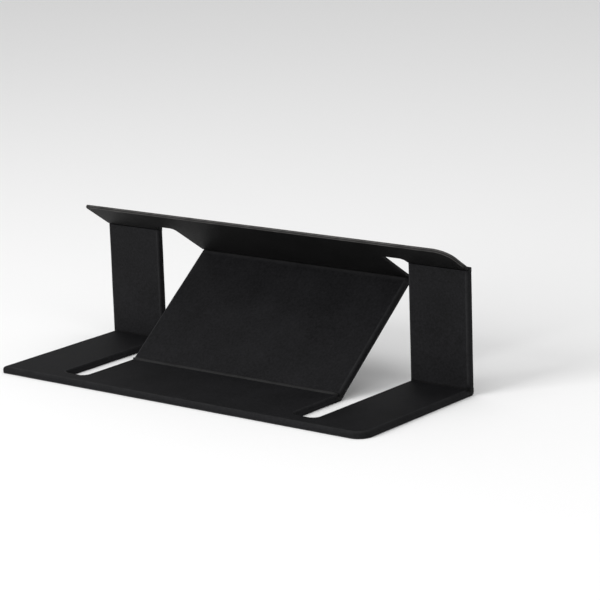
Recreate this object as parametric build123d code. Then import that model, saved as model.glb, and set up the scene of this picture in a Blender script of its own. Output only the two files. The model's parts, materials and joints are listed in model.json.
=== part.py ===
from build123d import *
import os
from math import atan2, cos, degrees, hypot, radians, sin, tan

# Fold-flat tablet stand: one wide sheet of stiff boards wrapped in soft skin, folded into a table base,
# two upright legs, a sloping adhesive plate for the tablet and a diagonal centre panel between them.
# X is the width, +Y points away from the user's near edge of the base, +Z is up.
# The origin is the middle of the base plate's underside. Lengths are in millimetres, angles in degrees.

# Driving dimensions
SHEET_WIDTH = 225.0
STRIP_WIDTH = 34.5          # each side strip: arm, leg and upper arm
TONGUE_WIDTH = 130.0        # centre strip: base tongue, diagonal and upper tongue
SKIN = 0.7
BOARD = 1.8
PLATE_SKIN = 0.5            # the adhesive plate is thin, to make room for its pad
PLATE_BOARD = 0.6

BASE_DEPTH = 80.0           # near edge to the foot crease
BASE_BAND = 9.5             # near edge to the near ends of the slots
TONGUE_CREASE = 17.0        # near edge to the crease across the root of the tongue
TONGUE_DEPTH = 43.5         # near edge to the diagonal's lower crease
LEG_LENGTH = 56.0           # foot crease to top crease
LEG_ANGLE = 88.5            # from the base, measured at the crease
PLATE_ARM = 20.0            # plate's near edge to the leg's top crease
PLATE_BAND = 16.0           # plate's near edge to the ends of its slots
PLATE_DEPTH = 41.5          # plate's near edge to the diagonal's upper crease
PLATE_ANGLE = 145.0         # direction from the leg's top crease to the plate's near edge

LEFT_CORNER = 1.8           # plan radius of the base's and the plate's near-left corners
BASE_CORNER = 7.0           # plan radius of the near-right corners, which are clearly rounded
PLATE_CORNER = 8.0
SLOT_CORNER = 2.5
EDGE_ROUND = 1.6            # rounded wrap of the skin over a board's free edges
PLATE_ROUND = 0.9           # the same on the adhesive plate
CREASE_GAP = 1.6            # between the two boards under the tongue's crease
CREASE_DEPTH = 0.35
PAD_INSET = 6.0
FOLD_CLEARANCE = 0.3        # between a fold strip's bead and the panel that turns about it
CREASE_CLEARANCE = 0.2      # least distance from a panel's end to the crease

# Derived sizes
THICK = BOARD + 2 * SKIN
PLATE_THICK = PLATE_BOARD + 2 * PLATE_SKIN
PAD = THICK - PLATE_THICK   # the pad brings the plate to the other panels' thickness
AXIS_DEPTH = THICK / 2      # the folds turn at mid thickness
FOLD_REACH = AXIS_DEPTH     # least distance from a panel's end to its fold axis
BEAD = AXIS_DEPTH - FOLD_CLEARANCE
STRIP_INNER = SHEET_WIDTH / 2 - STRIP_WIDTH
SLOT_WIDTH = STRIP_INNER - TONGUE_WIDTH / 2
SLOT_X = (STRIP_INNER + TONGUE_WIDTH / 2) / 2
STRIP_X = SHEET_WIDTH / 2 - STRIP_WIDTH / 2
BEYOND = 5.0                # how far a cutting shape runs past the edge it cuts


def step(point, angle, length):
    """The (y, z) point that is length along the direction angle from a (y, z) point."""
    return (point[0] + length * cos(radians(angle)), point[1] + length * sin(radians(angle)))


# Crease points (y, z), on the inner faces that meet there
NEAR_EDGE = (-BASE_DEPTH / 2, THICK)
FOOT = step(NEAR_EDGE, 0, BASE_DEPTH)
LEG_TOP = step(FOOT, LEG_ANGLE, LEG_LENGTH)
LOWER_CREASE = step(NEAR_EDGE, 0, TONGUE_DEPTH)
UPPER_CREASE = step(LEG_TOP, PLATE_ANGLE, PLATE_ARM - PLATE_DEPTH)
DIAGONAL_RISE = (UPPER_CREASE[0] - LOWER_CREASE[0], UPPER_CREASE[1] - LOWER_CREASE[1])
DIAGONAL_LENGTH = hypot(*DIAGONAL_RISE)
DIAGONAL_ANGLE = degrees(atan2(DIAGONAL_RISE[1], DIAGONAL_RISE[0]))


def fold_axis(crease, angle_before, angle_after):
    """The (y, z) point a fold turns about: mid thickness of both panels, outside their crease."""
    half_turn = (angle_after - angle_before) / 2
    return step(crease, angle_before - 90 + half_turn, AXIS_DEPTH / cos(radians(half_turn)))


def crease_to_axis(angle_before, angle_after):
    """Distance from the crease to the fold axis, measured along either panel."""
    return AXIS_DEPTH * tan(radians(angle_after - angle_before) / 2)


def set_back(angle_before, angle_after):
    """How far a panel's end stays short of the crease, so that its fold axis is FOLD_REACH away."""
    return max(CREASE_CLEARANCE, FOLD_REACH - crease_to_axis(angle_before, angle_after))


def fold_reach(angle_before, angle_after):
    """Distance from a panel's end to the fold axis."""
    return set_back(angle_before, angle_after) + crease_to_axis(angle_before, angle_after)


FOOT_AXIS = fold_axis(FOOT, 0, LEG_ANGLE)
LEG_TOP_AXIS = fold_axis(LEG_TOP, LEG_ANGLE, PLATE_ANGLE)
LOWER_AXIS = fold_axis(LOWER_CREASE, 0, DIAGONAL_ANGLE)
UPPER_AXIS = fold_axis(UPPER_CREASE, DIAGONAL_ANGLE, PLATE_ANGLE)
FOOT_BACK = set_back(0, LEG_ANGLE)
TOP_BACK = set_back(LEG_ANGLE, PLATE_ANGLE)
LOWER_BACK = set_back(0, DIAGONAL_ANGLE)
UPPER_BACK = set_back(DIAGONAL_ANGLE, PLATE_ANGLE)
FOOT_REACH = fold_reach(0, LEG_ANGLE)
TOP_REACH = fold_reach(LEG_ANGLE, PLATE_ANGLE)
LOWER_REACH = fold_reach(0, DIAGONAL_ANGLE)
UPPER_REACH = fold_reach(DIAGONAL_ANGLE, PLATE_ANGLE)

# Panel ends at the folds, along each panel from its own origin
ARM_END = BASE_DEPTH - FOOT_BACK
TONGUE_END = TONGUE_DEPTH - LOWER_BACK
LEG_ENDS = (FOOT_BACK, LEG_LENGTH - TOP_BACK)
PLATE_ENDS = (TOP_BACK, PLATE_ARM - PLATE_DEPTH + UPPER_BACK)
DIAGONAL_ENDS = (LOWER_BACK, DIAGONAL_LENGTH - UPPER_BACK)


def panel_plane(crease, angle, thickness):
    """A panel's own plane: x across, y along the panel from its crease, z from back face to front face."""
    back = step(crease, angle - 90, thickness)
    front_normal = (0, -sin(radians(angle)), cos(radians(angle)))
    return Plane(origin=(0, back[0], back[1]), x_dir=(1, 0, 0), z_dir=front_normal)


def rectangle(x_low, x_high, y_low, y_high):
    centre = ((x_low + x_high) / 2, (y_low + y_high) / 2)
    return Pos(*centre) * Rectangle(x_high - x_low, y_high - y_low)


def near_corners_rounded(sheet, y_near, right_corner):
    """A sheet with its two near corners rounded, the left one tightly and the right one widely."""
    near = sheet.vertices().filter_by(lambda v: abs(v.Y - y_near) < 0.01).sort_by(Axis.X)
    sheet = fillet(near[0], LEFT_CORNER)
    near = sheet.vertices().filter_by(lambda v: abs(v.Y - y_near) < 0.01).sort_by(Axis.X)
    return fillet(near[-1], right_corner)


def slot_cut(side, y_open, y_end):
    """One slot between a side strip and the centre strip, open at y_open, round-cornered at y_end."""
    slot = rectangle(side * SLOT_X - SLOT_WIDTH / 2, side * SLOT_X + SLOT_WIDTH / 2,
                     min(y_open, y_end), max(y_open, y_end))
    end_corners = slot.vertices().filter_by(lambda v: abs(v.Y - y_end) < 0.01)
    return fillet(end_corners, SLOT_CORNER)


def base_outline():
    """E shape: near band, two arms and the centre tongue; y runs from the near edge."""
    sheet = rectangle(-SHEET_WIDTH / 2, SHEET_WIDTH / 2, 0, ARM_END)
    sheet = near_corners_rounded(sheet, 0, BASE_CORNER)
    sheet -= rectangle(-STRIP_INNER, STRIP_INNER, TONGUE_END, ARM_END + BEYOND)
    for side in (-1, 1):
        sheet -= slot_cut(side, TONGUE_END + BEYOND, BASE_BAND)
    return sheet


def plate_outline():
    """Near band, two short arms and the upper tongue; y runs from the leg's top crease to the near edge."""
    arm_end, tongue_end = PLATE_ENDS
    band = rectangle(-SHEET_WIDTH / 2, SHEET_WIDTH / 2, arm_end, PLATE_ARM)
    band = near_corners_rounded(band, PLATE_ARM, PLATE_CORNER)
    sheet = band + rectangle(-TONGUE_WIDTH / 2, TONGUE_WIDTH / 2, tongue_end, PLATE_ARM / 2)
    for side in (-1, 1):
        sheet -= slot_cut(side, -BEYOND, PLATE_ARM - PLATE_BAND)
    return sheet


def leg_outline(side):
    return rectangle(side * STRIP_X - STRIP_WIDTH / 2, side * STRIP_X + STRIP_WIDTH / 2, *LEG_ENDS)


def diagonal_outline():
    return rectangle(-TONGUE_WIDTH / 2, TONGUE_WIDTH / 2, *DIAGONAL_ENDS)


def inset(outline, distance):
    return offset(outline, amount=-distance, kind=Kind.INTERSECTION)


def layer(outline, low, height):
    """A flat layer of a panel, from low to low + height above its back face."""
    return Pos(0, 0, low) * extrude(outline, height)


def wrapped(outline, fold_ends, thickness, skin, edge_round):
    """A front skin before its pocket is cut: rounded over every free edge, square at the fold ends."""
    block = layer(outline, skin, thickness - skin)
    rim = block.faces().sort_by(Axis.Z)[-1].edges()

    def is_free(edge):
        middle = edge.center()
        at_fold = any(abs(middle.Y - y) < 0.01 for y in fold_ends)
        return not (at_fold and abs(edge.tangent_at(0).X) > 0.99)

    return fillet(rim.filter_by(is_free), edge_round)


def front_skin(outline, fold_ends, boards, thickness=THICK, skin=SKIN, edge_round=EDGE_ROUND):
    cover = wrapped(outline, fold_ends, thickness, skin, edge_round)
    for board in boards:
        cover -= board
    return cover


def base_boards(outline):
    """The U-shaped frame board and the tongue board, which meet at the tongue's crease."""
    whole = inset(outline, SKIN)
    seam = TONGUE_CREASE
    tongue_half = TONGUE_WIDTH / 2 + SLOT_WIDTH / 2
    tongue_area = rectangle(-tongue_half, tongue_half, seam + CREASE_GAP / 2, TONGUE_DEPTH)
    cleared_area = rectangle(-tongue_half, tongue_half, seam - CREASE_GAP / 2, TONGUE_DEPTH)
    frame_board = layer(whole - cleared_area, SKIN, BOARD)
    tongue_board = layer(whole & tongue_area, SKIN, BOARD)
    return frame_board, tongue_board


def tongue_crease():
    """The shallow V pressed into the front skin across the root of the tongue."""
    profile = Polyline((TONGUE_CREASE - 2 * CREASE_DEPTH, THICK), (TONGUE_CREASE, THICK - CREASE_DEPTH),
                       (TONGUE_CREASE + 2 * CREASE_DEPTH, THICK), close=True)
    section = Plane.YZ * make_face(profile)
    return Pos(-TONGUE_WIDTH / 2, 0, 0) * extrude(section, TONGUE_WIDTH)


def fold_strip(axis, panel_angle, reach, x_centre, width):
    """The skin between two panels: a web from the end of the panel it rides on to a round bead on the axis.

    panel_angle points from that panel's end to the fold axis, which is reach away."""
    web = rectangle(-reach, 0, -SKIN, SKIN)
    section = web + Circle(BEAD)
    direction = (0, cos(radians(panel_angle)), sin(radians(panel_angle)))
    plane = Plane(origin=(x_centre - width / 2, axis[0], axis[1]), x_dir=direction, z_dir=(1, 0, 0))
    return extrude(plane * section, width)


def base_parts():
    outline = base_outline()
    plane = panel_plane(NEAR_EDGE, 0, THICK)
    boards = base_boards(outline)
    skin = front_skin(outline, (TONGUE_END, ARM_END), boards) - tongue_crease()
    return {
        "base_frame_board": plane * boards[0],
        "base_tongue_board": plane * boards[1],
        "base_front_skin": plane * skin,
        "base_back_skin": plane * layer(outline, 0, SKIN),
        "lower_centre_fold": fold_strip(LOWER_AXIS, 0, LOWER_REACH, 0, TONGUE_WIDTH),
    }


def leg_parts(name, side):
    outline = leg_outline(side)
    plane = panel_plane(FOOT, LEG_ANGLE, THICK)
    board = layer(inset(outline, SKIN), SKIN, BOARD)
    return {
        f"{name}_leg_board": plane * board,
        f"{name}_leg_front_skin": plane * front_skin(outline, LEG_ENDS, [board]),
        f"{name}_leg_back_skin": plane * layer(outline, 0, SKIN),
        f"{name}_foot_fold": fold_strip(FOOT_AXIS, 0, FOOT_REACH, side * STRIP_X, STRIP_WIDTH),
        f"{name}_top_fold": fold_strip(LEG_TOP_AXIS, LEG_ANGLE, TOP_REACH, side * STRIP_X, STRIP_WIDTH),
    }


def plate_parts():
    outline = plate_outline()
    plane = panel_plane(LEG_TOP, PLATE_ANGLE, PLATE_THICK)
    board = layer(inset(outline, PLATE_SKIN), PLATE_SKIN, PLATE_BOARD)
    cover = front_skin(outline, PLATE_ENDS, [board], PLATE_THICK, PLATE_SKIN, PLATE_ROUND)
    return {
        "top_board": plane * board,
        "top_front_skin": plane * cover,
        "top_back_skin": plane * layer(outline, 0, PLATE_SKIN),
        "adhesive_pad": plane * layer(inset(outline, PAD_INSET), -PAD, PAD),
        "upper_centre_fold": fold_strip(UPPER_AXIS, PLATE_ANGLE + 180, UPPER_REACH, 0, TONGUE_WIDTH),
    }


def diagonal_parts():
    outline = diagonal_outline()
    plane = panel_plane(LOWER_CREASE, DIAGONAL_ANGLE, THICK)
    board = layer(inset(outline, SKIN), SKIN, BOARD)
    return {
        "diagonal_board": plane * board,
        "diagonal_front_skin": plane * front_skin(outline, DIAGONAL_ENDS, [board]),
        "diagonal_back_skin": plane * layer(outline, 0, SKIN),
    }


def all_parts():
    parts = base_parts()
    parts.update(leg_parts("left", -1))
    parts.update(leg_parts("right", 1))
    parts.update(plate_parts())
    parts.update(diagonal_parts())
    return parts


os.makedirs("parts", exist_ok=True)
for node, solid in all_parts().items():
    export_step(solid, f"parts/{node}.step")
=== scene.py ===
import json
from math import cos, pi, radians, sin, tan

import bmesh
import bpy
from mathutils import Matrix, Vector, noise


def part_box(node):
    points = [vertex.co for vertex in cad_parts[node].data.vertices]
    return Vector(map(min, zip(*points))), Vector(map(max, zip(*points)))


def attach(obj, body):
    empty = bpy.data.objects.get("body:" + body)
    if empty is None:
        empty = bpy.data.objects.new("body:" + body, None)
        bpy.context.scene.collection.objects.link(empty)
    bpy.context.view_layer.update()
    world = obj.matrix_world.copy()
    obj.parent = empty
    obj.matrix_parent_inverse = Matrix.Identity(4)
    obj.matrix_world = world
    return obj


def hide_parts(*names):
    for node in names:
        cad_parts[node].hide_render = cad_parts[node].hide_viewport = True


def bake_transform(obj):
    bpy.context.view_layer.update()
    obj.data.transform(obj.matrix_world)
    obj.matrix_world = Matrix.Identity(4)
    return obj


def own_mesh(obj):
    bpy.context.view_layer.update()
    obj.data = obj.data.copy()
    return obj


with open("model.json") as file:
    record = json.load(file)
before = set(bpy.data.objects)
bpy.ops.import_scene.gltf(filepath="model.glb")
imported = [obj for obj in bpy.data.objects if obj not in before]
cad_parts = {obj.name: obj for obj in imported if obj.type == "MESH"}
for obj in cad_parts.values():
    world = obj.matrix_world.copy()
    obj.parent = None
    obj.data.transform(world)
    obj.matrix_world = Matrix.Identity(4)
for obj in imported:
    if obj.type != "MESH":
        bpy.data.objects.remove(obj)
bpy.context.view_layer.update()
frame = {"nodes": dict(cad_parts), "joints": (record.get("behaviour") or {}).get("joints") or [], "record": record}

# Looks for the fold-flat tablet stand. Every panel is two skins over its boards, and each fold is a strip of
# skin that bends between two panels. A panel has its own coordinates: x across, s along the panel away from
# its fold axis, n from the back face to the front face, all in metres.

MM = 0.001
TINY = 0.01 * MM
BEFORE_ALL = -1.0             # an s that lies before the start of every panel
SKIN = 0.7 * MM
PLATE_SKIN = 0.5 * MM
BEAD_CLEARANCE = 0.3 * MM     # what the CAD part's fold beads fall short of half a panel's thickness
TONGUE_CREASE = 17.0 * MM     # near edge to the crease across the root of the tongue
LEFT_CORNER = 2.0 * MM        # plan radius of the near-left corners
BASE_CORNER = 7.0 * MM        # and of the near-right ones
PLATE_CORNER = 8.0 * MM
SLOT_CORNER = 3.0 * MM
PLATE_SLOT_CORNER = 2.0 * MM
CORNER_STEPS = 8
WRAP_ROUND = 1.7 * MM         # the front skin's roll over a board's free edge
PLATE_ROUND = 0.8 * MM        # the same on the thinner adhesive plate
FOLD_ROUND = 0.45 * MM        # its tighter roll into a fold
ROLL_STEPS = 8
CREASE_GAP = 0.06 * MM        # between a front skin's end and the crease it is pressed into
BACK_ROUND = 0.3 * MM         # the back skin's roll at its edges
BACK_ROLL_STEPS = 3
SEAM = 0.16 * MM              # half the width of the seam line between the two skins
HOLD = 0.15 * MM              # from a roll's end to the ring that keeps its shading off the flat face
OVERLAP = 0.35 * MM           # how far a fold's strip runs on under the covers
GRID = 3.0 * MM               # spacing of the mesh lines over a panel's faces
GRID_SHIFT = 0.13             # of that spacing, to keep the lines off the outlines' own points
FACE_WAVE = 0.07 * MM         # slow waves in the skins' faces
EDGE_WAVE = 0.09 * MM         # and along their edges
WAVE_LENGTH = 16.0 * MM
ACROSS, ALONG = 3.1, 23.1     # which of the waves moves an edge across, and which along its panel
FOLD_ZONE = 1.0 * MM          # nearer than this to a fold, a skin keeps straight and shows no wear and no painted highlight
MARKED_PAST_SLOTS = 1.5 * MM    # from the ends of the plate's slots to where its edges get the painted highlight
RIDGE_WIDTH = 1.25 * MM       # half the width of the soft ridge along the lower crease
RIDGE_HEIGHT = 1.7 * MM
RIDGE_SUNK = 0.6 * MM         # how far its foot lies under the front faces
RIDGE_SHORT = 0.9 * MM        # how far it ends short of the tongue's side edges
PRESSED_DEPTH = 0.3 * MM      # the tongue's pressed crease: its depth and half its width
PRESSED_HALF = 0.9 * MM
LIP_HEIGHT = 0.1 * MM         # the low lips beside it: their height, place and half width
LIP_AWAY = 1.6 * MM
LIP_HALF = 1.2 * MM
STRIP_INSIDE = 0.55 * MM      # how far inside its axis a fold's strip reaches
STRIP_PEAK = 0.5 * MM         # and in the middle of its bend
BEND_STEPS = 10
END_TUCK = 0.12 * MM          # how much thinner a strip is at its two ends
STRIP_WAVE = 0.05 * MM
STRIP_WEAR = 0.15             # marks, from 0 to 1, for the lighter colour: wear on the fold strips, wear and a painted highlight on the ridge, and on the cut edges slight wear on the covers and a painted highlight on the plate
RIDGE_WEAR_AND_HIGHLIGHT = 0.5
CUT_WEAR = 0.1
PLATE_CUT_HIGHLIGHT = 0.9
SKIN_SPECULAR = 0.08          # weak reflection of the matte skins
MOTTLE_SHARE = 0.7            # how much the fine and the slow noise add to the colour
CLOUD_SHARE = 0.3
ROUGHNESS_SPREAD = 0.07
WEAR_POLISH = 0.22            # how much smoother a full mark of wear and painted highlight is
GRAIN_DEPTH = 0.09 * MM
DENT_DEPTH = 0.35 * MM
FLOOR_HALF = 6.0
FLOOR_DROP = 0.1 * MM         # the floor lies this far under the base
LIT_POINT = (0, 0.02, 0.03)   # what the lights point at
CAMERA_PLACE = (0.78658, -0.88108, 0.32915)
CAMERA_AZIMUTH = 40.004       # degrees
CAMERA_ELEVATION = 13.788
CAMERA_ROLL = -2.862
SENSOR_MM = 36.0
LENS_MM = 154.677


# ---- frames of the panels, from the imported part

def turned(vector, angle):
    """A (y, z) vector turned about X, from +Y towards +Z."""
    c, s = cos(radians(angle)), sin(radians(angle))
    return (vector[0] * c - vector[1] * s, vector[0] * s + vector[1] * c)


class Panel:
    """A flat panel's coordinates, from a point (y, z) at mid thickness and its direction in degrees.

    The point is the panel's fold axis, or the near edge for the base."""

    def __init__(self, axis, angle):
        self.axis = axis
        self.angle = angle

    def place(self, point):
        y, z = turned((point[1], point[2] - AXIS_DEPTH), self.angle)
        return Vector((point[0], self.axis[0] + y, self.axis[1] + z))

    def local(self, point):
        s, n = turned((point[1] - self.axis[0], point[2] - self.axis[1]), -self.angle)
        return Vector((point[0], s, n + AXIS_DEPTH))

    def span(self, node, inner=0.0, outer=1.0):
        """Lowest and highest (x, s, n) of a CAD node, for its points at inner to outer from the middle."""
        points = [self.local(vertex.co) for vertex in frame["nodes"][node].data.vertices
                  if inner - TINY <= abs(vertex.co.x) <= outer + TINY]
        low = Vector([min(p[i] for p in points) for i in range(3)])
        high = Vector([max(p[i] for p in points) for i in range(3)])
        return low, high


joints = {joint["name"]: joint for joint in frame["joints"]}
ratios = {c["joint"]: c["ratio"] for c in frame["record"]["behaviour"]["couplings"]}
LEG_ANGLE = joints["leg_fold"]["range_deg"][1]
PLATE_ANGLE = LEG_ANGLE * (1 + ratios["top_fold"])
DIAGONAL_ANGLE = LEG_ANGLE * ratios["diagonal_fold"]
FOOT_AXIS = joints["leg_fold"]["pos_m"][1:]
LEG_TOP_AXIS = joints["top_fold"]["pos_m"][1:]
LOWER_AXIS = joints["diagonal_fold"]["pos_m"][1:]
AXIS_DEPTH = FOOT_AXIS[1]
FRONT = 2 * AXIS_DEPTH        # n of every front face

BASE = Panel((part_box("base_front_skin")[0].y, AXIS_DEPTH), 0)
LEG = Panel(FOOT_AXIS, LEG_ANGLE)
PLATE = Panel(LEG_TOP_AXIS, PLATE_ANGLE)
DIAGONAL = Panel(LOWER_AXIS, DIAGONAL_ANGLE)

HALF_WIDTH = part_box("base_front_skin")[1].x
HALF_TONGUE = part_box("diagonal_front_skin")[1].x
STRIP_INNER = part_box("right_leg_front_skin")[0].x
IN_SLOT = (HALF_TONGUE + MM, STRIP_INNER - MM)

ARM_END = BASE.span("base_back_skin", STRIP_INNER)[1].y
TONGUE_END = BASE.span("base_back_skin", 0, HALF_TONGUE)[1].y
BASE_BAND = BASE.span("base_back_skin", *IN_SLOT)[0].y
LEG_LOW, LEG_HIGH = (end.y for end in LEG.span("left_leg_back_skin"))
DIAGONAL_LOW, DIAGONAL_HIGH = (end.y for end in DIAGONAL.span("diagonal_back_skin"))
PLATE_TONGUE_END, PLATE_NEAR = (end.y for end in PLATE.span("top_back_skin"))
PLATE_ARM_END = PLATE.span("top_back_skin", STRIP_INNER)[0].y
PLATE_BAND = PLATE.span("top_back_skin", *IN_SLOT)[0].y
PLATE_BACK = PLATE.span("top_back_skin")[0].z
BEAD = AXIS_DEPTH - BEAD_CLEARANCE
UPPER_S = PLATE.span("upper_centre_fold")[0].y + BEAD
UPPER_AXIS = PLATE.place((0, UPPER_S, AXIS_DEPTH))[1:]


def crease_end(turn):
    """Distance from a fold's axis, along either panel, to a front cover's end beside the crease."""
    return AXIS_DEPTH * tan(radians(turn) / 2) + CREASE_GAP


def between(axis, other):
    return Vector(axis) - Vector(other)


FOOT_END = crease_end(LEG_ANGLE)
TOP_END = crease_end(PLATE_ANGLE - LEG_ANGLE)
LOWER_END = crease_end(DIAGONAL_ANGLE)
UPPER_END = crease_end(PLATE_ANGLE - DIAGONAL_ANGLE)
LEG_SPAN = between(LEG_TOP_AXIS, FOOT_AXIS).length
DIAGONAL_SPAN = between(UPPER_AXIS, LOWER_AXIS).length
FRONT_ARM_END = FOOT_AXIS[0] - BASE.axis[0] - FOOT_END
FRONT_TONGUE_END = LOWER_AXIS[0] - BASE.axis[0] - LOWER_END


# ---- outlines

def rounded(corners):
    """A closed outline, counter-clockwise, from right-angled (x, s, radius) corners."""
    loop = []
    for i, (x, s, radius) in enumerate(corners):
        here = Vector((x, s))
        before = (Vector(corners[i - 1][:2]) - here).normalized()
        after = (Vector(corners[(i + 1) % len(corners)][:2]) - here).normalized()
        if radius == 0:
            loop.append(here)
            continue
        centre = here + (before + after) * radius
        for k in range(CORNER_STEPS + 1):
            angle = pi / 2 * k / CORNER_STEPS
            loop.append(centre - (after * cos(angle) + before * sin(angle)) * radius)
    return loop


def mirrored(half, right_corner):
    """The whole outline's corners from those with positive x, given counter-clockwise.

    The near-right corner has its own radius; on the left the same corner is tight."""
    left = [(-x, s, LEFT_CORNER if radius == right_corner else radius) for x, s, radius in reversed(half)]
    return half + left


def base_outline(arm_end, tongue_end):
    return rounded(mirrored([
        (HALF_WIDTH, 0, BASE_CORNER), (HALF_WIDTH, arm_end, 0), (STRIP_INNER, arm_end, 0),
        (STRIP_INNER, BASE_BAND, SLOT_CORNER), (HALF_TONGUE, BASE_BAND, SLOT_CORNER),
        (HALF_TONGUE, tongue_end, 0)], BASE_CORNER))


def plate_outline(arm_end, tongue_end):
    return rounded(mirrored([
        (HALF_TONGUE, tongue_end, 0), (HALF_TONGUE, PLATE_BAND, PLATE_SLOT_CORNER),
        (STRIP_INNER, PLATE_BAND, PLATE_SLOT_CORNER), (STRIP_INNER, arm_end, 0),
        (HALF_WIDTH, arm_end, 0), (HALF_WIDTH, PLATE_NEAR, PLATE_CORNER)], PLATE_CORNER))


def plain_outline(x_low, x_high, s_low, s_high):
    return rounded([(x_low, s_low, 0), (x_high, s_low, 0), (x_high, s_high, 0), (x_low, s_high, 0)])


def fold_edges(loop, levels):
    """For each edge of the outline, whether it is an end that runs along a fold."""
    return [abs(a.y - b.y) < TINY and any(abs(a.y - level) < TINY for level in levels)
            for a, b in zip(loop, loop[1:] + loop[:1])]


def inset(loop, distances):
    """The outline moved inwards, each edge by its own distance."""
    moved = []
    for i, point in enumerate(loop):
        normals = []
        for edge in (i - 1, i):
            along = (loop[(edge + 1) % len(loop)] - loop[edge]).normalized()
            normals.append(Vector((-along.y, along.x)))
        one, two = normals
        low, high = distances[i - 1], distances[i]
        cross = one.x * two.y - one.y * two.x
        moved.append(point + Vector((low * two.y - high * one.y, one.x * high - two.x * low)) / cross)
    return moved


# ---- meshes

def new_object(name, bm, material):
    bmesh.ops.recalc_face_normals(bm, faces=bm.faces)
    mesh = bpy.data.meshes.new(name)
    bm.to_mesh(mesh)
    bm.free()
    mesh.shade_smooth()
    mesh.materials.append(material)
    piece = bpy.data.objects.new(name, mesh)
    bpy.context.scene.collection.objects.link(piece)
    return piece


def wave(x, s, seed):
    return noise.noise(Vector((x / WAVE_LENGTH, s / WAVE_LENGTH, seed)))


def stacked(bm, marks, rings):
    """Joins closed rings of (points, mark) with quads, and closes the first and the last with a face."""
    made = []
    for points, mark in rings:
        loop = [bm.verts.new(point) for point in points]
        for vertex in loop:
            vertex[marks] = mark
        made.append(loop)
    for low, high in zip(made, made[1:]):
        for i in range(len(low)):
            j = (i + 1) % len(low)
            bm.faces.new((low[i], low[j], high[j], high[i]))
    bm.faces.new(list(reversed(made[0])))
    bm.faces.new(made[-1])


def gridded(bm, spacing):
    """Cuts the mesh along a grid, so that its faces can carry waves."""
    for axis in range(2):
        low = min(vertex.co[axis] for vertex in bm.verts)
        high = max(vertex.co[axis] for vertex in bm.verts)
        count = max(1, round((high - low) / spacing))
        normal = [0, 0, 0]
        normal[axis] = 1
        for k in range(1, count):
            at = [0, 0, 0]
            at[axis] = low + (high - low) * (k + GRID_SHIFT) / count
            everything = bm.verts[:] + bm.edges[:] + bm.faces[:]
            bmesh.ops.bisect_plane(bm, geom=everything, plane_co=at, plane_no=normal, dist=TINY / 10)


def skin_piece(name, panel, loop, fold_levels, profile, material, relief, wear_and_highlight_from, highlight_fold):
    """A closed skin over one panel.

    profile lists (inset at a free edge, inset at a fold, n, mark of wear and painted highlight); relief gives a
    face point's rise.
    Marks show only beyond s = wear_and_highlight_from and away from the folds; on the front at the fold s =
    highlight_fold they are full, a painted highlight along that crease."""
    at_fold = fold_edges(loop, fold_levels)
    rings = []
    for free_inset, fold_inset, height, mark in profile:
        flat = inset(loop, [fold_inset if fold else free_inset for fold in at_fold])
        rings.append(([(point.x, point.y, height) for point in flat], mark))
    bm = bmesh.new()
    marks = bm.verts.layers.float.new("wear_and_highlight")
    stacked(bm, marks, rings)
    gridded(bm, GRID)
    for vertex in bm.verts:
        x, s, n = vertex.co
        moved = Vector((x + EDGE_WAVE * wave(x, s, ACROSS), s, n + relief(x, s, n)))
        at_a_fold = any(abs(s - level) < FOLD_ZONE for level in fold_levels)
        # a painted highlight: a full mark along the front at this fold
        if abs(s - highlight_fold) < FOLD_ZONE and n > FRONT - FOLD_ZONE:
            vertex[marks] = 1.0
        elif at_a_fold or s < wear_and_highlight_from:
            vertex[marks] = 0.0
        if not at_a_fold:
            moved.y += EDGE_WAVE * wave(x, s, ALONG)
        vertex.co = panel.place(moved)
    return new_object(name, bm, material)


def front_profile(back, wrap, skin, cut_wear_and_highlight):
    """Rings of a front skin, from the top of its pocket, round its lower lip, up and over to its face."""
    lip = back + skin
    # the wall up to the roll carries the cut-edge mark: slight wear on the covers, a painted highlight on the
    # plate
    rings = [(skin, skin, FRONT - skin, 0), (skin, skin, lip, 0), (2 * SEAM, 0, lip, 0),
             (SEAM / 3, 0, lip + SEAM / 3, 0.3), (0, 0, lip + SEAM, cut_wear_and_highlight), (0, 0, FRONT - wrap, cut_wear_and_highlight)]
    for k in range(1, ROLL_STEPS + 1):
        angle = pi / 2 * k / ROLL_STEPS
        run = 1 - cos(angle)
        # the roll's mark grows towards its top: partly wear, partly a painted highlight along the rolled edge
        mark = sin(angle) ** 3 if k < ROLL_STEPS else 0
        rings.append((wrap * run, FOLD_ROUND * run, FRONT - wrap * (1 - sin(angle)), mark))
    rings.append((wrap + HOLD, FOLD_ROUND + HOLD, FRONT, 0))
    return rings


def back_profile(back, skin):
    """Rings of a back skin, from its outer face to the face that lies on the board."""
    rings = [(BACK_ROUND + HOLD, HOLD, back, 0)]
    # marks at the back skin's edge and seam: its lighter cut edge on the covers, a painted highlight on the plate
    for k in range(BACK_ROLL_STEPS + 1):
        angle = pi / 2 * k / BACK_ROLL_STEPS
        rings.append((BACK_ROUND * (1 - sin(angle)), 0, back + BACK_ROUND * (1 - cos(angle)), 0.8))
    top = back + skin
    rings += [(0, 0, top - SEAM, 0.9), (SEAM / 3, 0, top - SEAM / 3, 0.6), (2 * SEAM, 0, top, 0)]
    return rings


def face_waves(x, s, n):
    """Slow waves in a front face, always inwards."""
    depth = FACE_WAVE * (0.5 + 0.5 * wave(x * 0.8, s * 0.8, 5.5))
    return -depth if n > FRONT - TINY else 0.0


def base_relief(x, s, n):
    """The base also has a shallow pressed crease across the root of its tongue."""
    rise = face_waves(x, s, n)
    if n > FRONT - TINY and abs(x) < HALF_TONGUE:
        away = abs(s - TONGUE_CREASE)
        rise -= PRESSED_DEPTH * max(0.0, 1 - away / PRESSED_HALF)
        rise += LIP_HEIGHT * max(0.0, 1 - abs(away - LIP_AWAY) / LIP_HALF)
    return rise


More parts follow.
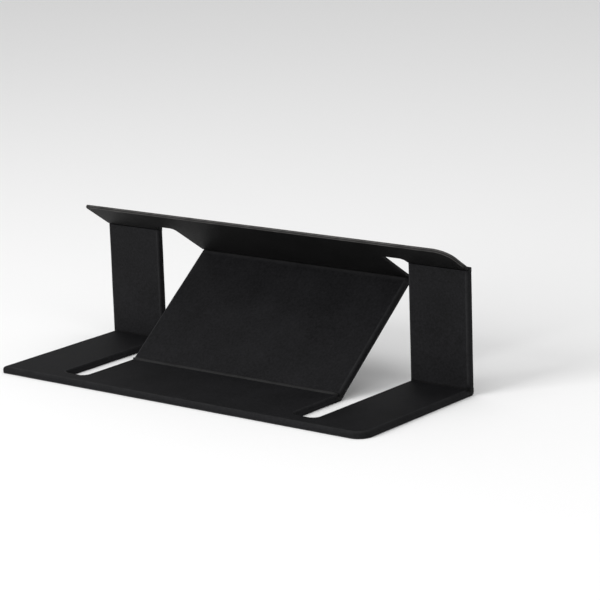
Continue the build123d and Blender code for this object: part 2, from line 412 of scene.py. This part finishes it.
def back_relief(back):
    """The relief of a back skin: slow waves in its outer face, always inwards."""
    def rise(x, s, n):
        return FACE_WAVE * 0.5 * (1 + wave(x, s, 1.5)) if n < back + TINY else 0.0
    return rise


# ---- materials

def node(tree, kind, **values):
    made = tree.nodes.new(kind)
    for key, value in values.items():
        setattr(made, key, value)
    return made


def leather(name, dark, light, wear_and_highlight_colour, roughness):
    """Matte fine-grained skin: mottled colour, pebbled grain, and a lighter, smoother colour where marked, which
    is partly wear and partly a painted highlight on rolled and cut edges.
    """
    material = bpy.data.materials.new(name)
    material.use_nodes = True
    tree = material.node_tree
    shader = tree.nodes["Principled BSDF"]
    link = tree.links.new
    where = node(tree, "ShaderNodeTexCoord")

    def texture(scale, detail, rough=0.55):
        made = node(tree, "ShaderNodeTexNoise")
        made.inputs["Scale"].default_value = scale
        made.inputs["Detail"].default_value = detail
        made.inputs["Roughness"].default_value = rough
        link(where.outputs["Object"], made.inputs["Vector"])
        return made

    mottle = texture(scale=900, detail=4, rough=0.65)
    clouds = texture(scale=45, detail=3)
    mix = node(tree, "ShaderNodeMath", operation="MULTIPLY_ADD")
    link(mottle.outputs["Fac"], mix.inputs[0])
    mix.inputs[1].default_value = MOTTLE_SHARE
    scaled = node(tree, "ShaderNodeMath", operation="MULTIPLY")
    link(clouds.outputs["Fac"], scaled.inputs[0])
    scaled.inputs[1].default_value = CLOUD_SHARE
    link(scaled.outputs[0], mix.inputs[2])
    ramp = node(tree, "ShaderNodeValToRGB")
    ramp.color_ramp.elements[0].position = 0.34
    ramp.color_ramp.elements[0].color = (*dark, 1)
    ramp.color_ramp.elements[1].position = 0.66
    ramp.color_ramp.elements[1].color = (*light, 1)
    link(mix.outputs[0], ramp.inputs["Fac"])

    # the marked, patchy lighter colour: wear, and a painted highlight along lit edges
    wear_and_highlight = node(tree, "ShaderNodeAttribute", attribute_name="wear_and_highlight")
    patch = texture(scale=160, detail=3)
    amount = node(tree, "ShaderNodeMath", operation="MULTIPLY")
    link(wear_and_highlight.outputs["Fac"], amount.inputs[0])
    link(patch.outputs["Fac"], amount.inputs[1])
    colour = node(tree, "ShaderNodeMix", data_type="RGBA")
    link(amount.outputs[0], colour.inputs["Factor"])
    link(ramp.outputs["Color"], colour.inputs["A"])
    colour.inputs["B"].default_value = (*wear_and_highlight_colour, 1)
    link(colour.outputs["Result"], shader.inputs["Base Color"])

    rough = node(tree, "ShaderNodeMapRange")
    rough.inputs["From Min"].default_value = 0.3
    rough.inputs["From Max"].default_value = 0.7
    rough.inputs["To Min"].default_value = roughness - ROUGHNESS_SPREAD
    rough.inputs["To Max"].default_value = roughness + ROUGHNESS_SPREAD
    link(mix.outputs[0], rough.inputs["Value"])
    polish = node(tree, "ShaderNodeMath", operation="MULTIPLY_ADD")
    link(amount.outputs[0], polish.inputs[0])
    polish.inputs[1].default_value = -WEAR_POLISH
    link(rough.outputs["Result"], polish.inputs[2])
    link(polish.outputs[0], shader.inputs["Roughness"])
    shader.inputs["Specular IOR Level"].default_value = SKIN_SPECULAR

    grain = node(tree, "ShaderNodeTexVoronoi", feature="SMOOTH_F1")
    grain.inputs["Scale"].default_value = 1500
    grain.inputs["Smoothness"].default_value = 0.6
    link(where.outputs["Object"], grain.inputs["Vector"])
    pebbles = node(tree, "ShaderNodeBump")
    pebbles.inputs["Strength"].default_value = 0.55
    pebbles.inputs["Distance"].default_value = GRAIN_DEPTH
    link(grain.outputs["Distance"], pebbles.inputs["Height"])
    dents = node(tree, "ShaderNodeBump")
    dents.inputs["Strength"].default_value = 0.5
    dents.inputs["Distance"].default_value = DENT_DEPTH
    link(clouds.outputs["Fac"], dents.inputs["Height"])
    link(pebbles.outputs["Normal"], dents.inputs["Normal"])
    link(dents.outputs["Normal"], shader.inputs["Normal"])
    return material


COVER = leather("cover_leather", dark=(0.0028, 0.0028, 0.0031), light=(0.0108, 0.0107, 0.0119),
                wear_and_highlight_colour=(0.022, 0.022, 0.023), roughness=0.68)
# the plate's skin: its very light marked colour is a painted highlight, the bright lit line along the plate's cut
# edges
EDGE_HIGHLIGHTED = leather("edge_highlighted_leather", dark=(0.003, 0.003, 0.003), light=(0.0105, 0.0103, 0.0105),
                wear_and_highlight_colour=(0.15, 0.145, 0.14), roughness=0.6)
FOLDED = leather("fold_leather", dark=(0.003, 0.003, 0.003), light=(0.011, 0.011, 0.011),
                 wear_and_highlight_colour=(0.03, 0.03, 0.031), roughness=0.62)


def fibre_board():
    """Woven glass-fibre board, seen only at the ends of the pockets."""
    material = bpy.data.materials.new("fibre_board")
    material.use_nodes = True
    tree = material.node_tree
    shader = tree.nodes["Principled BSDF"]
    where = node(tree, "ShaderNodeTexCoord")
    threads = node(tree, "ShaderNodeTexWave", wave_type="BANDS", bands_direction="X")
    threads.inputs["Scale"].default_value = 260
    threads.inputs["Distortion"].default_value = 1.5
    tree.links.new(where.outputs["Object"], threads.inputs["Vector"])
    ramp = node(tree, "ShaderNodeValToRGB")
    ramp.color_ramp.elements[0].color = (0.24, 0.23, 0.19, 1)
    ramp.color_ramp.elements[1].color = (0.42, 0.41, 0.36, 1)
    tree.links.new(threads.outputs["Fac"], ramp.inputs["Fac"])
    tree.links.new(ramp.outputs["Color"], shader.inputs["Base Color"])
    bump = node(tree, "ShaderNodeBump")
    bump.inputs["Distance"].default_value = 0.05 * MM
    tree.links.new(threads.outputs["Fac"], bump.inputs["Height"])
    tree.links.new(bump.outputs["Normal"], shader.inputs["Normal"])
    shader.inputs["Roughness"].default_value = 0.6
    return material


def tacky_film():
    """The adhesive pad: a dark, smooth, slightly rippled film."""
    material = bpy.data.materials.new("tacky_film")
    material.use_nodes = True
    tree = material.node_tree
    shader = tree.nodes["Principled BSDF"]
    where = node(tree, "ShaderNodeTexCoord")
    ripple = node(tree, "ShaderNodeTexNoise")
    ripple.inputs["Scale"].default_value = 70
    ripple.inputs["Detail"].default_value = 4
    tree.links.new(where.outputs["Object"], ripple.inputs["Vector"])
    ramp = node(tree, "ShaderNodeValToRGB")
    ramp.color_ramp.elements[0].position = 0.35
    ramp.color_ramp.elements[0].color = (0.010, 0.010, 0.011, 1)
    ramp.color_ramp.elements[1].position = 0.7
    ramp.color_ramp.elements[1].color = (0.020, 0.020, 0.022, 1)
    tree.links.new(ripple.outputs["Fac"], ramp.inputs["Fac"])
    tree.links.new(ramp.outputs["Color"], shader.inputs["Base Color"])
    rough = node(tree, "ShaderNodeMapRange")
    rough.inputs["To Min"].default_value = 0.22
    rough.inputs["To Max"].default_value = 0.42
    tree.links.new(ripple.outputs["Fac"], rough.inputs["Value"])
    tree.links.new(rough.outputs["Result"], shader.inputs["Roughness"])
    bump = node(tree, "ShaderNodeBump")
    bump.inputs["Distance"].default_value = 0.15 * MM
    bump.inputs["Strength"].default_value = 0.62
    tree.links.new(ripple.outputs["Fac"], bump.inputs["Height"])
    tree.links.new(bump.outputs["Normal"], shader.inputs["Normal"])
    return material


# ---- the panels

def panel_skins(name, panel, outline, front_ends, back_ends, body, nodes, back=0.0, wrap=WRAP_ROUND,
                skin=SKIN, relief=face_waves, material=COVER, cut_wear_and_highlight=CUT_WEAR, wear_and_highlight_from=BEFORE_ALL,
                highlight_fold=BEFORE_ALL):
    """Both skins of one panel, standing for its two CAD nodes; only the front one reaches the creases."""
    front = skin_piece(f"{name}_front_cover", panel, outline(*front_ends), front_ends,
                       front_profile(back, wrap, skin, cut_wear_and_highlight), material, relief, wear_and_highlight_from, highlight_fold)
    rear = skin_piece(f"{name}_back_cover", panel, outline(*back_ends), back_ends, back_profile(back, skin),
                      material, back_relief(back), wear_and_highlight_from, highlight_fold)
    for piece, cad_node in zip((front, rear), nodes):
        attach(piece, body)
        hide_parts(cad_node)


def centre_outline(low, high):
    return plain_outline(-HALF_TONGUE, HALF_TONGUE, low, high)


def left_strip_outline(low, high):
    return plain_outline(-HALF_WIDTH, -STRIP_INNER, low, high)


def right_strip_outline(low, high):
    return plain_outline(STRIP_INNER, HALF_WIDTH, low, high)


panel_skins("base", BASE, base_outline, (FRONT_ARM_END, FRONT_TONGUE_END), (ARM_END, TONGUE_END), "base",
            ("base_front_skin", "base_back_skin"), relief=base_relief)
# the plate's skin carries the painted highlight along its cut edges
panel_skins("plate", PLATE, plate_outline, (TOP_END, UPPER_S + UPPER_END), (PLATE_ARM_END, PLATE_TONGUE_END),
            "adhesive_plate", ("top_front_skin", "top_back_skin"), back=PLATE_BACK, wrap=PLATE_ROUND,
            skin=PLATE_SKIN, material=EDGE_HIGHLIGHTED, cut_wear_and_highlight=PLATE_CUT_HIGHLIGHT, wear_and_highlight_from=PLATE_BAND + MARKED_PAST_SLOTS)
# the diagonal's front carries a painted highlight along its upper crease
panel_skins("diagonal", DIAGONAL, centre_outline, (LOWER_END, DIAGONAL_SPAN - UPPER_END),
            (DIAGONAL_LOW, DIAGONAL_HIGH), "diagonal", ("diagonal_front_skin", "diagonal_back_skin"),
            highlight_fold=DIAGONAL_SPAN - UPPER_END)
for side, outline in (("left", left_strip_outline), ("right", right_strip_outline)):
    panel_skins(f"{side}_leg", LEG, outline, (FOOT_END, LEG_SPAN - TOP_END), (LEG_LOW, LEG_HIGH), "legs",
                (f"{side}_leg_front_skin", f"{side}_leg_back_skin"))


# ---- the folds

def fold_section(turn, reach_before, reach_after, depth_after):
    """A fold strip's closed section about its axis, in (u, v): u along the first panel, v to its front.

    It runs along the outside from the first panel's end to the second's, and back along the inside.
    The second panel's back face lies depth_after outside the axis."""
    outside = [(-reach_before - OVERLAP, -AXIS_DEPTH), (-reach_before / 2, -AXIS_DEPTH)]
    for k in range(BEND_STEPS + 1):
        depth = AXIS_DEPTH + (depth_after - AXIS_DEPTH) * k / BEND_STEPS
        outside.append(turned((0, -depth), turn * k / BEND_STEPS))
    outside.append(turned((reach_after / 2, -depth_after), turn))
    outside.append(turned((reach_after + OVERLAP, -depth_after), turn))
    inside = [turned((reach_after + OVERLAP, STRIP_INSIDE), turn),
              turned((reach_after / 2, STRIP_INSIDE), turn), turned((0, STRIP_PEAK), turn / 2),
              (-reach_before / 2, STRIP_INSIDE), (-reach_before - OVERLAP, STRIP_INSIDE)]
    return outside + inside


def strip(name, axis, angle, turn, reaches, x_low, x_high, depth_after=AXIS_DEPTH):
    """A fold's strip of skin, lofted across x, with a slightly uneven section.

    angle is the first panel's direction and turn the angle to the second's, in degrees; reaches are the
    distances from the axis to the two panels' ends."""
    section = fold_section(turn, *reaches, depth_after)
    bm = bmesh.new()
    marks = bm.verts.layers.float.new("wear_and_highlight")
    count = max(2, round((x_high - x_low) / GRID))
    rings = []
    for k in range(count + 1):
        x = x_low + (x_high - x_low) * k / count
        tuck = END_TUCK if k in (0, count) else 0.0
        ring = []
        for u, v in section:
            thinner = tuck + STRIP_WAVE * (1 + wave(x * 2, u * 4, 2.5))
            y, z = turned((u, v * (1 - thinner / AXIS_DEPTH * 0.5)), angle)
            ring.append((x, axis[0] + y, axis[1] + z))
        rings.append((ring, STRIP_WEAR))
    stacked(bm, marks, rings)
    return new_object(name, bm, FOLDED)


PLATE_DEPTH = AXIS_DEPTH - PLATE_BACK
FOOT_REACH = LEG_LOW
TOP_REACH = PLATE_ARM_END
LEG_TOP_REACH = (LEG.place((0, LEG_HIGH, AXIS_DEPTH)) - Vector((0, *LEG_TOP_AXIS))).length
for side, low, high in (("left", -HALF_WIDTH, -STRIP_INNER), ("right", STRIP_INNER, HALF_WIDTH)):
    foot = strip(f"{side}_foot_hinge", FOOT_AXIS, 0, LEG_ANGLE, (FOOT_REACH, FOOT_REACH), low, high)
    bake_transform(foot)
    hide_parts(f"{side}_foot_fold")
    top = strip(f"{side}_top_hinge", LEG_TOP_AXIS, LEG_ANGLE, PLATE_ANGLE - LEG_ANGLE,
                (LEG_TOP_REACH, TOP_REACH), low, high, PLATE_DEPTH)
    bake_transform(top)
    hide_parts(f"{side}_top_fold")

lower = strip("lower_centre_hinge", LOWER_AXIS, 0, DIAGONAL_ANGLE, (DIAGONAL_LOW, DIAGONAL_LOW),
              -HALF_TONGUE, HALF_TONGUE)
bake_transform(lower)
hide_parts("lower_centre_fold")


def fold_ridge():
    """The soft ridge that the front skin makes along the lower crease.

    It swells over the last grid spaces before each end and is pinched at the very end."""
    bm = bmesh.new()
    marks = bm.verts.layers.float.new("wear_and_highlight")
    reach = HALF_TONGUE - RIDGE_SHORT
    count = 2 * round(reach / GRID)
    rings = []
    for k in range(count + 1):
        x = reach * (2 * k / count - 1)
        at_end = max(0.0, 1 - (reach - abs(x)) / (3 * GRID))
        width = RIDGE_WIDTH * (1 + 0.10 * wave(2 * x, 0, 31.0) + 0.15 * at_end)
        height = RIDGE_HEIGHT * (1 + 0.16 * wave(1.5 * x, 0, 44.0) + 0.2 * at_end)
        if k in (0, count):
            width *= 0.6
            height *= 0.7
        ring = []
        for j in range(BEND_STEPS + 1):
            angle = pi * j / BEND_STEPS
            u = -width * cos(angle)
            v = FRONT - AXIS_DEPTH - RIDGE_SUNK + height * sin(angle)
            y, z = turned((u, v), DIAGONAL_ANGLE / 2)
            ring.append((x, LOWER_AXIS[0] + y, LOWER_AXIS[1] + z))
        # the ridge's lighter mark: partly wear, partly a painted highlight along its top
        rings.append((ring, RIDGE_WEAR_AND_HIGHLIGHT))
    stacked(bm, marks, rings)
    return new_object("lower_fold_ridge", bm, FOLDED)


ridge = fold_ridge()
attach(ridge, "base")
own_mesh(ridge)

UPPER_REACH = PLATE_TONGUE_END - UPPER_S
upper = strip("upper_centre_hinge", UPPER_AXIS, DIAGONAL_ANGLE, PLATE_ANGLE - DIAGONAL_ANGLE,
              (UPPER_REACH, UPPER_REACH), -HALF_TONGUE, HALF_TONGUE, PLATE_DEPTH)
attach(upper, "adhesive_plate")
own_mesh(upper)
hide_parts("upper_centre_fold")


# ---- the boards and the pad keep their CAD shapes

BOARD = fibre_board()
FILM = tacky_film()
for name, cad in frame["nodes"].items():
    if name.endswith("_board") or name == "adhesive_pad":
        cad.data.materials.clear()
        cad.data.materials.append(FILM if name == "adhesive_pad" else BOARD)


# ---- floor, light and camera

def floor():
    bm = bmesh.new()
    square = ((-1, -1), (1, -1), (1, 1), (-1, 1))
    bm.faces.new([bm.verts.new((x * FLOOR_HALF, y * FLOOR_HALF, -FLOOR_DROP)) for x, y in square])
    material = bpy.data.materials.new("floor")
    material.use_nodes = True
    shader = material.node_tree.nodes["Principled BSDF"]
    shader.inputs["Base Color"].default_value = (0.9, 0.9, 0.9, 1)
    shader.inputs["Roughness"].default_value = 0.9
    new_object("floor", bm, material)


def area_light(name, at, size, watts):
    data = bpy.data.lights.new(name, "AREA")
    data.shape = "RECTANGLE"
    data.size, data.size_y = size
    data.energy = watts
    light = bpy.data.objects.new(name, data)
    light.location = at
    light.rotation_mode = "QUATERNION"
    light.rotation_quaternion = (Vector(LIT_POINT) - Vector(at)).to_track_quat("-Z", "Y")
    bpy.context.scene.collection.objects.link(light)


def camera():
    azimuth, elevation, roll = radians(CAMERA_AZIMUTH), radians(CAMERA_ELEVATION), radians(CAMERA_ROLL)
    forward = Vector((-sin(azimuth) * cos(elevation), cos(azimuth) * cos(elevation), -sin(elevation)))
    right = Vector((cos(azimuth), sin(azimuth), 0))
    up = right.cross(forward)
    tilted_right = right * cos(roll) + up * sin(roll)
    tilted_up = up * cos(roll) - right * sin(roll)
    data = bpy.data.cameras.new("camera")
    data.sensor_width = SENSOR_MM
    data.lens = LENS_MM
    data.clip_start = 0.05
    data.clip_end = 20
    view = bpy.data.objects.new("camera", data)
    view.matrix_world = Matrix((
        (tilted_right.x, tilted_up.x, -forward.x, CAMERA_PLACE[0]),
        (tilted_right.y, tilted_up.y, -forward.y, CAMERA_PLACE[1]),
        (tilted_right.z, tilted_up.z, -forward.z, CAMERA_PLACE[2]),
        (0, 0, 0, 1)))
    bpy.context.scene.collection.objects.link(view)
    bpy.context.scene.camera = view


def white_world(strength):
    world = bpy.data.worlds.new("world")
    world.use_nodes = True
    background = world.node_tree.nodes["Background"]
    background.inputs["Color"].default_value = (1, 1, 1, 1)
    background.inputs["Strength"].default_value = strength
    bpy.context.scene.world = world


floor()
area_light("key", at=(-0.5, -1.3, 0.6), size=(0.9, 0.9), watts=19)
area_light("top", at=(0, -0.1, 1.5), size=(1.4, 1.0), watts=4)
area_light("side", at=(1.3, -0.3, 0.5), size=(0.6, 0.6), watts=3)
white_world(strength=0.62)
bpy.context.scene.view_settings.view_transform = "Standard"
camera()
